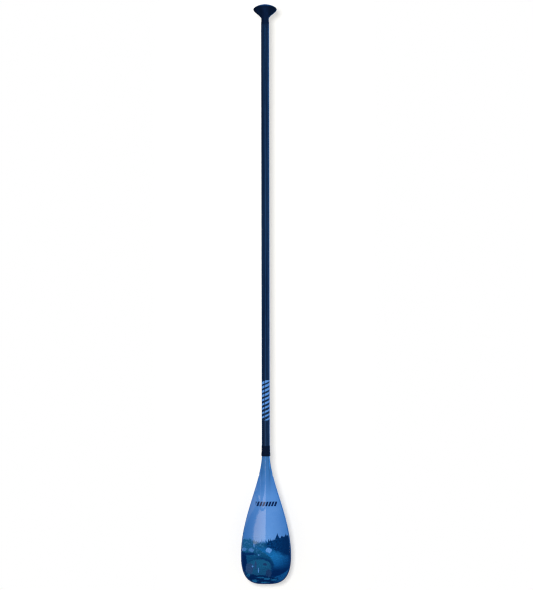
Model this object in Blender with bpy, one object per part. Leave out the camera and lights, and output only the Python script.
"""A fixed-length stand-up paddle: palm grip, one-piece tubular shaft and a foam-cored blade.

Metres, +Z up the shaft towards the grip. The power face of the blade looks to -Y and its tip leans
to +Y. The origin is on the shaft's axis under the flare of the grip, where a forked rack holds it.
Every joint is a glued spigot or a bonded seam, so each piece keeps a bond line to its neighbours.
"""

import math

import bmesh
import bpy
import numpy as np

# Bond lines between pieces
GLUE_GAP = 0.0003        # between pieces that are glued or pushed together
CORE_GAP = 0.0005        # between the blade's skins and the foam and spar inside
SEAM_GAP = 0.0003        # where two moulded halves meet edge to edge

# Shaft
SHAFT_OD = 0.029
SHAFT_WALL = 0.0015
SHAFT_LENGTH = 1.5425
SHAFT_TOP_Z = -0.024     # rim under the grip's collar
BUNG_LENGTH = 0.025      # foam plugs that seal the shaft
BUNG_STANDOFF = 0.004    # from the end of each spigot

# Glued spigots, the same at both ends
GLUE_WALL = 0.0004
SPIGOT_WALL = 0.0015
GRIP_SPIGOT_IN_SHAFT = 0.050
BLADE_SPIGOT_IN_SHAFT = 0.090
BLADE_SPIGOT_IN_BLADE = 0.022
SPIGOT_PLUG_LENGTH = 0.040
GLUE_SETBACK = 0.001     # from the rim of the shaft and the end of the spigot
RIM_CHAMFER = 0.0004

# Palm grip
GRIP_WIDTH = 0.084
GRIP_DEPTH = 0.034
GRIP_CROWN = 0.0187      # from the widest level up to the top
GRIP_FLARE = 0.0338      # from the widest level down to the waist
WAIST_STEP = 0.0008      # radius of the shaft less that of the waist
WAIST_LENGTH = 0.0092
COLLAR_STEP = 0.0002     # radius of the shaft less that of the collar that seats on it
COLLAR_BLEND = 0.004
COLLAR_LENGTH = 0.006
CROWN_POWER = 1.78       # outline of the crown as a superellipse
SCOOP_DEPTH = 0.0045     # hollows for the fingers, left and right of the middle rib
GRIP_TAIL = 0.018        # stub of the foam core inside the grip's spigot

# Sleeve over the joint of shaft and blade
SLEEVE_LENGTH = 0.038
SLEEVE_WALL = 0.00045
SLEEVE_OVER_BLADE = 0.0055
WRAP_LENGTH = 0.006      # fibre wrap over the butt of shaft and blade
WRAP_WALL = 0.0006
SLEEVE_DRAPE = 0.010     # over which the sleeve settles from the wrap back to the shaft

# Blade outline, along its own centre line
NECK_STEP = 0.0001       # radius of the neck less that of the shaft
BLADE_LENGTH = 0.4867    # from the butt against the shaft to the tip
BLADE_WIDTH = 0.182
TIP_LENGTH = 0.1112      # from the widest station to the tip
FLARE_POWER = 0.86
TIP_POWER_ACROSS = 3.2
TIP_POWER_ALONG = 2.5

# Blade bend: the blade leans forward of the shaft
BEND_START = 0.045
BEND_ARC = 0.070
BEND_ANGLE = math.radians(10)

# Blade section
EDGE_THICKNESS = 0.0044
DIHEDRAL = 0.0045        # height of the power face's middle crease
CAMBER_POWER = 0.0008
CAMBER_BACK = 0.0018
RIDGE_LENGTH = 0.210     # how far the round neck fades into the power face
SPINE_LENGTH = 0.300     # how far it fades into the back
SPINE_SPREAD = 0.35      # how much wider the fading neck gets
SKIN = 0.0009
NECK_BLEND = 0.070       # over which the skin thins and the edge takes its full thickness

# Edge rail and what is between the skins
RAIL_START = 0.078
RAIL_WIDTH = 0.004
RAIL_END_WIDTH = 0.0014
RAIL_TAPER = 0.060
RAIL_RUN_IN = 0.012
SPAR_WIDTH_TOP = 0.014
SPAR_WIDTH_TIP = 0.005

# Facets
ROUND = 32               # round pieces
SHAFT_STATIONS = 4
SKIN_COLUMNS = 16
GRIP_COLUMNS = 16
SIDE_ROWS = 15
TIP_ROWS = 8
LAST_TIP_ANGLE = math.radians(86)
CROWN_ROWS = 6
FLARE_ROWS = 7
RAIL_STEPS = (0, 0.35, 0.65, 0.88, 1)  # across the rail, closest at its rounded edge
LEAST_PITCH = 0.0004     # between the core's columns where the spar crowds them

# Derived sizes
SHAFT_R = SHAFT_OD / 2
BORE_R = SHAFT_R - SHAFT_WALL
GLUE_R = BORE_R - GLUE_GAP
SPIGOT_R = GLUE_R - GLUE_WALL - GLUE_GAP
SPIGOT_BORE_R = SPIGOT_R - SPIGOT_WALL
SHAFT_END_Z = SHAFT_TOP_Z - SHAFT_LENGTH
BUTT_Z = SHAFT_END_Z - GLUE_GAP
NECK_R = SHAFT_R + NECK_STEP
NECK_SKIN = NECK_R - SPIGOT_R - GLUE_GAP       # the skins fill the neck down to the spigot
WAIST_R = SHAFT_R - WAIST_STEP
COLLAR_R = SHAFT_R - COLLAR_STEP
GRIP_SHELL = WAIST_R - SPIGOT_R - GLUE_GAP     # the shells fill the waist down to the spigot
SIDE_LENGTH = BLADE_LENGTH - TIP_LENGTH
EDGE_R = EDGE_THICKNESS / 2
COLLAR_Z = SHAFT_TOP_Z + GLUE_GAP
WAIST_Z = COLLAR_Z + COLLAR_LENGTH + COLLAR_BLEND + WAIST_LENGTH
WIDEST_Z = WAIST_Z + GRIP_FLARE
GRIP_TOP_Z = WIDEST_Z + GRIP_CROWN
GRIP_SPIGOT_TOP_Z = WAIST_Z + 0.0015

for old in list(bpy.data.objects):
    bpy.data.objects.remove(old, do_unlink=True)


def smooth(t):
    """0 to 1 with level ends."""
    t = min(max(t, 0.0), 1.0)
    return t * t * (3 - 2 * t)


def material(name, colour, roughness):
    made = bpy.data.materials.new(name)
    made.use_nodes = True
    shader = made.node_tree.nodes["Principled BSDF"]
    shader.inputs["Base Color"].default_value = (*colour, 1)
    shader.inputs["Roughness"].default_value = roughness
    return made


def finish(bm, name, look):
    """Close the mesh, turn its faces out, give it its own material and put it in the scene."""
    bmesh.ops.remove_doubles(bm, verts=bm.verts, dist=1e-6)
    bmesh.ops.dissolve_degenerate(bm, edges=bm.edges, dist=1e-7)
    bmesh.ops.recalc_face_normals(bm, faces=bm.faces)
    mesh = bpy.data.meshes.new(name)
    bm.to_mesh(mesh)
    bm.free()
    mesh.shade_smooth()
    mesh.set_sharp_from_angle(angle=math.radians(32))
    mesh.materials.append(material(name, *look))
    made_object = bpy.data.objects.new(name, mesh)
    bpy.context.scene.collection.objects.link(made_object)
    return made_object


def turned(name, profile, look):
    """A body of revolution about Z. A profile that touches the axis is solid, any other is a ring."""
    bm = bmesh.new()
    points = [bm.verts.new((radius, 0, z)) for radius, z in profile]
    on_axis = profile[0][0] == 0
    pairs = list(zip(points, points[1:])) + ([] if on_axis else [(points[-1], points[0])])
    edges = [bm.edges.new(pair) for pair in pairs]
    bmesh.ops.spin(bm, geom=points + edges, axis=(0, 0, 1), cent=(0, 0, 0), angle=math.tau,
                   steps=ROUND, use_merge=True)
    return finish(bm, name, look)


def tube_profile(inner, outer, low, high, chamfer, stations=1):
    """Ring profile with chamfered outer rims, its length cut into equal stations."""
    outside = [(outer, low + chamfer + (high - low - 2 * chamfer) * i / stations)
               for i in range(stations + 1)]
    inside = [(inner, high - (high - low) * i / stations) for i in range(stations + 1)]
    return [(outer - chamfer, low)] + outside + [(outer - chamfer, high)] + inside


def between(name, front, back, look):
    """A solid between two grids of points with the same rows and columns."""
    bm = bmesh.new()
    sheets = [[[bm.verts.new(point) for point in row] for row in sheet] for sheet in (front, back)]
    rows, columns = len(front), len(front[0])
    for sheet in sheets:
        for r in range(rows - 1):
            for c in range(columns - 1):
                bm.faces.new((sheet[r][c], sheet[r][c + 1], sheet[r + 1][c + 1], sheet[r + 1][c]))
    rim = [(0, c) for c in range(columns)] + [(r, columns - 1) for r in range(1, rows)]
    rim += [(rows - 1, c) for c in range(columns - 2, -1, -1)]
    rim += [(r, 0) for r in range(rows - 2, 0, -1)]
    for (r, c), (r2, c2) in zip(rim, rim[1:] + rim[:1]):
        bm.faces.new((sheets[0][r][c], sheets[0][r2][c2], sheets[1][r2][c2], sheets[1][r][c]))
    return finish(bm, name, look)


def lofted(name, rings, look):
    """A solid through closed rings of points, capped at both ends."""
    bm = bmesh.new()
    loops = [[bm.verts.new(point) for point in ring] for ring in rings]
    count = len(loops[0])
    for low, high in zip(loops, loops[1:]):
        for i in range(count):
            j = (i + 1) % count
            bm.faces.new((low[i], low[j], high[j], high[i]))
    for end in (loops[0], loops[-1]):
        bm.faces.new(end)
    return finish(bm, name, look)


# Palm grip ------------------------------------------------------------------------------------

def grip_rows(inset):
    """(height, half width, half depth) from the seat on the shaft up to the crown, moved inwards."""
    waist, collar = WAIST_R - inset, COLLAR_R - inset
    rows = [(COLLAR_Z, collar, collar), (COLLAR_Z + COLLAR_LENGTH, collar, collar),
            (WAIST_Z - WAIST_LENGTH, waist, waist)]
    wide, deep = GRIP_WIDTH / 2 - inset, GRIP_DEPTH / 2 - inset
    for i in range(FLARE_ROWS):
        t = i / FLARE_ROWS
        rows.append((WAIST_Z + GRIP_FLARE * t, waist + (wide - waist) * (1 - smooth(1 - t)),
                     waist + (deep - waist) * smooth(t * 1.3)))
    for i in range(CROWN_ROWS + 1):
        angle = math.pi / 2 * i / CROWN_ROWS
        height = (GRIP_CROWN - inset) * math.sin(angle) ** (2 / CROWN_POWER)
        across = max(math.cos(angle), 0) ** (2 / CROWN_POWER) if i < CROWN_ROWS else 0.0
        rows.append((WIDEST_Z + height, wide * across, deep * across ** 0.8))
    return rows


def scoop(u, z):
    """Depth of the finger hollows in the grip's front at a share u of the half width."""
    level = (z - WAIST_Z) / (GRIP_FLARE + GRIP_CROWN)
    along = math.sin(math.pi * min(max(level * 1.15, 0), 1)) ** 2
    return SCOOP_DEPTH * along * (1 - math.cos(math.tau * abs(u))) / 2


def grip_sheet(inset, side):
    """Front (side -1) or back (side 1) half of the grip's surface, moved inwards by inset."""
    sheet = []
    for z, wide, deep in grip_rows(inset):
        row = []
        for c in range(GRIP_COLUMNS + 1):
            angle = math.pi * c / GRIP_COLUMNS
            u = -math.cos(angle)
            hollow = scoop(u, z) if side < 0 else 0
            out = max(deep * math.sin(angle) - hollow, 0) + SEAM_GAP / 2
            row.append((wide * u, side * out, z))
        sheet.append(row)
    return sheet


def grip_shell(name, side, look):
    return between(name, grip_sheet(0, side), grip_sheet(GRIP_SHELL, side), look)


def at_level(sheet, z):
    """The sheet's row at a height between two of its own."""
    for low, high in zip(sheet, sheet[1:]):
        if low[0][2] <= z <= high[0][2]:
            share = (z - low[0][2]) / (high[0][2] - low[0][2])
            return [tuple(p + (q - p) * share for p, q in zip(*pair)) for pair in zip(low, high)]


def grip_core(look):
    """Foam that fills the head, with a round stub inside the spigot."""
    tail = SPIGOT_BORE_R - GLUE_GAP
    floor = GRIP_SPIGOT_TOP_Z + GLUE_GAP
    turn = [math.pi * c / GRIP_COLUMNS for c in range(2 * GRIP_COLUMNS)]
    rings = [[(-tail * math.cos(a), -tail * math.sin(a), z) for a in turn]
             for z in (GRIP_SPIGOT_TOP_Z - GRIP_TAIL, floor)]
    sheets = [grip_sheet(GRIP_SHELL + GLUE_GAP, side) for side in (-1, 1)]
    head = [[at_level(sheet, floor)] + [row for row in sheet if row[0][2] > floor]
            for sheet in sheets]
    rings += [front[:-1] + back[:0:-1] for front, back in zip(*head)]
    return lofted("grip_core", rings, look)


# Blade ----------------------------------------------------------------------------------------

def full_half_width(s):
    """Half width of the blade at a distance s from the butt."""
    if s <= SIDE_LENGTH:
        visible = max(s - SLEEVE_OVER_BLADE, 0) / (SIDE_LENGTH - SLEEVE_OVER_BLADE)
        return NECK_R + (BLADE_WIDTH / 2 - NECK_R) * smooth(visible ** FLARE_POWER)
    t = min((s - SIDE_LENGTH) / TIP_LENGTH, 1)
    return BLADE_WIDTH / 2 * (1 - t ** TIP_POWER_ALONG) ** (1 / TIP_POWER_ACROSS)


def tip_station(angle, inset):
    """(s, half width) on the rounded tip, moved inwards by inset."""
    s = SIDE_LENGTH + (TIP_LENGTH - inset) * math.sin(angle) ** (2 / TIP_POWER_ALONG)
    return s, (BLADE_WIDTH / 2 - inset) * max(math.cos(angle), 0) ** (2 / TIP_POWER_ACROSS)


def rail_width(s):
    return RAIL_END_WIDTH + (RAIL_WIDTH - RAIL_END_WIDTH) * smooth((s - RAIL_START) / RAIL_TAPER)


def skin_inset(s):
    """How far the skins' edges stand back from the outline, to let the rail in."""
    if s >= RAIL_START:
        return rail_width(s) + GLUE_GAP
    return (RAIL_END_WIDTH + GLUE_GAP) * smooth((s - RAIL_START + RAIL_RUN_IN) / RAIL_RUN_IN)


def side_stations():
    """Distances from the butt of the rows above the rounded tip, closest where the neck changes."""
    fixed = [0, SLEEVE_OVER_BLADE, RAIL_START - RAIL_RUN_IN, RAIL_START - GLUE_GAP, RAIL_START]
    even = [SIDE_LENGTH * (i / SIDE_ROWS) ** 1.15 for i in range(1, SIDE_ROWS)]
    clear = [s for s in even if min(abs(s - f) for f in fixed) > 0.006]
    return sorted(fixed + clear + [BLADE_SPIGOT_IN_BLADE + 2 * GLUE_GAP])


def blade_rows():
    """(s, half width of the skins) for every row from the neck to the tip."""
    rows = [(s, full_half_width(s) - skin_inset(s)) for s in side_stations()]
    inset = RAIL_WIDTH + GLUE_GAP
    rows += [tip_station(LAST_TIP_ANGLE * i / TIP_ROWS, inset) for i in range(TIP_ROWS + 1)]
    return rows


def height(x, s, inset, side):
    """Distance of the surface from the blade's middle plane; side -1 is the power face."""
    share = min(abs(x) / full_half_width(s), 1)
    edge = 1 - min(inset, EDGE_R) / EDGE_R
    plate = EDGE_R * smooth(s / NECK_BLEND) * math.sqrt(1 - edge * edge)
    full = smooth((s - BEND_START) / 0.15) * (1 - smooth((s - SIDE_LENGTH) / (TIP_LENGTH - 0.012)))
    camber = (CAMBER_POWER if side < 0 else CAMBER_BACK) * full * (1 - share * share)
    crease = DIHEDRAL * full * (1 - share) if side < 0 else 0
    fade = smooth((s - SLEEVE_OVER_BLADE) / (RIDGE_LENGTH if side < 0 else SPINE_LENGTH))
    spread = smooth((s - SLEEVE_OVER_BLADE) / 0.12)
    reach = NECK_R * (1 + SPINE_SPREAD * spread)
    neck = NECK_R * (1 - fade) * max(1 - (x / reach) ** 2, 0) ** (0.5 + spread)
    return plate + camber + crease + neck


def on_blade(x, s, out):
    """Point at x across, s along and out towards the power face, with the blade's bend applied."""
    radius = BEND_ARC / BEND_ANGLE
    angle = min(max((s - BEND_START) / radius, 0), BEND_ANGLE)
    after = max(s - BEND_START - BEND_ARC, 0)
    y = radius * (1 - math.cos(angle)) + after * math.sin(BEND_ANGLE)
    down = min(s, BEND_START) + radius * math.sin(angle) + after * math.cos(BEND_ANGLE)
    return x, y - out * math.cos(angle), BUTT_Z - down - out * math.sin(angle)


def section(s, half, side):
    """Outer and inner line of one skin at s, as arrays of (x, height)."""
    even = np.linspace(-1, 1, SKIN_COLUMNS + 1)
    spread = smooth(s / 0.1)
    shares = even * spread + np.sin(even * math.pi / 2) * (1 - spread)
    inset = skin_inset(s)
    outer = np.array([(half * u, height(half * u, s, inset + half * (1 - abs(u)), side))
                      for u in shares])
    outer[:, 1] = np.maximum(outer[:, 1], SEAM_GAP / 2)
    along = np.gradient(outer, axis=0)
    if inset == 0:
        along[0], along[-1] = (0, 1), (0, -1)
    normal = np.stack([-along[:, 1], along[:, 0]], axis=1)
    normal /= np.linalg.norm(normal, axis=1)[:, None]
    thick = SKIN + (NECK_SKIN - SKIN) * (1 - smooth(s / NECK_BLEND))
    inner = outer - normal * thick
    inner[:, 0] = np.clip(inner[:, 0], -half, half)
    inner[:, 1] = np.maximum(inner[:, 1], SEAM_GAP / 2)
    return outer, inner


def skin(name, side, look):
    sheets = ([], [])
    for s, half in blade_rows():
        for sheet, line in zip(sheets, section(s, half, side)):
            sheet.append([on_blade(x, s, -side * out) for x, out in line])
    return between(name, *sheets, look)


def filled_rows(start):
    """(s, front line, back line) of the space between the skins, from start to the tip."""
    for s, half in blade_rows():
        if s > start:
            yield s, section(s, half, -1)[1], section(s, half, 1)[1]


def spar_half_width(s):
    share = (s - BLADE_SPIGOT_IN_BLADE) / (BLADE_LENGTH - BLADE_SPIGOT_IN_BLADE)
    return (SPAR_WIDTH_TOP + (SPAR_WIDTH_TIP - SPAR_WIDTH_TOP) * share) / 2


def filler(name, start, columns_at, look):
    """A solid between the skins; columns_at(s, line) places its columns under a skin's line."""
    sheets = ([], [])
    for s, front, back in filled_rows(start):
        for sheet, line, sign in zip(sheets, (front, back), (1, -1)):
            columns = columns_at(s, line)
            out = np.interp(columns, line[:, 0], line[:, 1]) - CORE_GAP
            sheet.append([on_blade(x, s, sign * max(o, CORE_GAP)) for x, o in zip(columns, out)])
    return between(name, *sheets, look)


def spar_columns(s, line):
    return np.linspace(-1, 1, 5) * spar_half_width(s)


def core_columns(sign):
    """The skin's own columns on one side, kept clear of the spar."""
    def columns(s, line):
        middle = SKIN_COLUMNS // 2
        out = np.abs(line[middle:, 0] if sign > 0 else line[middle::-1, 0])
        out = np.maximum(out, spar_half_width(s) + GLUE_GAP + LEAST_PITCH * np.arange(len(out)))
        return sign * (out if sign > 0 else out[::-1])
    return columns


def rail_ring(s, angle):
    """The rail's outline at one station, as (x, s, height): round the edge from face to face."""
    wide = rail_width(s) if angle is None else RAIL_WIDTH
    sides = []
    for side in (-1, 1):
        line = []
        for step in RAIL_STEPS:
            inset = wide * (1 - step)
            at, x = (s, full_half_width(s) - inset) if angle is None else tip_station(angle, inset)
            line.append((x, at, -side * height(x, at, inset, side)))
        sides.append(line)
    return sides[0] + sides[1][-2::-1]


def rail(look):
    """The strip round the blade's edge, from shoulder to shoulder by way of the tip."""
    half = [rail_ring(s, None) for s in side_stations() if s >= RAIL_START]
    half += [rail_ring(None, LAST_TIP_ANGLE * i / TIP_ROWS) for i in range(TIP_ROWS + 1)]
    half.append(rail_ring(None, math.pi / 2))
    left = [[(-x, s, out) for x, s, out in ring] for ring in half]
    rings = left + half[-2::-1]
    return lofted("edge_rail", [[on_blade(*point) for point in ring] for ring in rings], look)


# Shaft, spigots and sleeve --------------------------------------------------------------------

def shaft_tube(look):
    profile = tube_profile(BORE_R, SHAFT_R, SHAFT_END_Z, SHAFT_TOP_Z, RIM_CHAMFER, SHAFT_STATIONS)
    return turned("shaft_tube", profile, look)


def spigot(name, low, high, look):
    return turned(name, tube_profile(SPIGOT_BORE_R, SPIGOT_R, low, high, RIM_CHAMFER), look)


def glue_sleeve(name, low, high, look):
    profile = tube_profile(GLUE_R - GLUE_WALL, GLUE_R, low, high, GLUE_WALL / 4)
    return turned(name, profile, look)


def foam_plug(name, radius, low, length, look):
    """A round foam plug with eased rims."""
    ease = radius / 10
    profile = [(0, low), (radius - ease, low), (radius, low + ease), (radius, low + length - ease),
               (radius - ease, low + length), (0, low + length)]
    return turned(name, profile, look)


def joint_wrap(look):
    """Fibre wound over the butt of shaft and blade."""
    inner = max(SHAFT_R, NECK_R) + GLUE_GAP
    middle = (SHAFT_END_Z + BUTT_Z) / 2
    profile = tube_profile(inner, inner + WRAP_WALL, middle - WRAP_LENGTH / 2,
                           middle + WRAP_LENGTH / 2, WRAP_WALL / 2)
    return turned("joint_wrap", profile, look)


def shrink_sleeve(look):
    """A thin tube that follows the shaft, swells over the wrap and draws in on the blade's neck."""
    low = BUTT_Z - SLEEVE_OVER_BLADE
    on_shaft, on_neck = SHAFT_R + GLUE_GAP, NECK_R + GLUE_GAP
    on_wrap = max(SHAFT_R, NECK_R) + 2 * GLUE_GAP + WRAP_WALL
    under = BUTT_Z - WRAP_LENGTH / 2 - GLUE_GAP
    over = BUTT_Z + WRAP_LENGTH / 2 + 2 * GLUE_GAP
    inside = [(on_neck, low), (on_neck, (low + under) / 2), (on_wrap, under), (on_wrap, over),
              (on_shaft + WRAP_WALL / 3, over + SLEEVE_DRAPE / 3), (on_shaft, over + SLEEVE_DRAPE),
              (on_shaft, low + SLEEVE_LENGTH)]
    outside = [(radius + SLEEVE_WALL, z) for radius, z in inside]
    return turned("shrink_sleeve", outside + inside[::-1], look)


def build():
    """Make every piece, from the grip down to the blade's edge."""
    moulded = ((0.006, 0.012, 0.030), 0.45)
    laminate = ((0.030, 0.034, 0.038), 0.5)
    foam = ((0.62, 0.60, 0.52), 0.9)
    glue = ((0.70, 0.58, 0.36), 0.4)
    grip_low = SHAFT_TOP_Z - GRIP_SPIGOT_IN_SHAFT
    blade_high = BUTT_Z + BLADE_SPIGOT_IN_SHAFT
    blade_low = BUTT_Z - BLADE_SPIGOT_IN_BLADE
    grip_shell("grip_front_shell", -1, moulded)
    grip_shell("grip_back_shell", 1, moulded)
    grip_core(foam)
    spigot("grip_spigot", grip_low, GRIP_SPIGOT_TOP_Z, laminate)
    glue_sleeve("grip_glue_sleeve", grip_low, SHAFT_TOP_Z - GLUE_SETBACK, glue)
    foam_plug("upper_bung", GLUE_R, grip_low - BUNG_STANDOFF - BUNG_LENGTH, BUNG_LENGTH, foam)
    shaft_tube(((0.010, 0.028, 0.080), 0.35))
    foam_plug("lower_bung", GLUE_R, blade_high + BUNG_STANDOFF, BUNG_LENGTH, foam)
    glue_sleeve("blade_glue_sleeve", SHAFT_END_Z + GLUE_SETBACK, blade_high, glue)
    spigot("blade_spigot", blade_low, blade_high, laminate)
    foam_plug("spigot_plug", SPIGOT_BORE_R - GLUE_GAP, blade_low + GLUE_SETBACK,
              SPIGOT_PLUG_LENGTH, foam)
    joint_wrap(((0.35, 0.35, 0.33), 0.6))
    shrink_sleeve(((0.005, 0.008, 0.018), 0.55))
    skin("power_face_skin", -1, ((0.09, 0.25, 0.62), 0.2))
    skin("back_face_skin", 1, ((0.07, 0.21, 0.55), 0.2))
    filler("centre_spar", BLADE_SPIGOT_IN_BLADE + GLUE_GAP, spar_columns, laminate)
    filler("core_left", RAIL_START - GLUE_GAP / 2, core_columns(-1), foam)
    filler("core_right", RAIL_START - GLUE_GAP / 2, core_columns(1), foam)
    rail(((0.03, 0.14, 0.42), 0.4))


build()
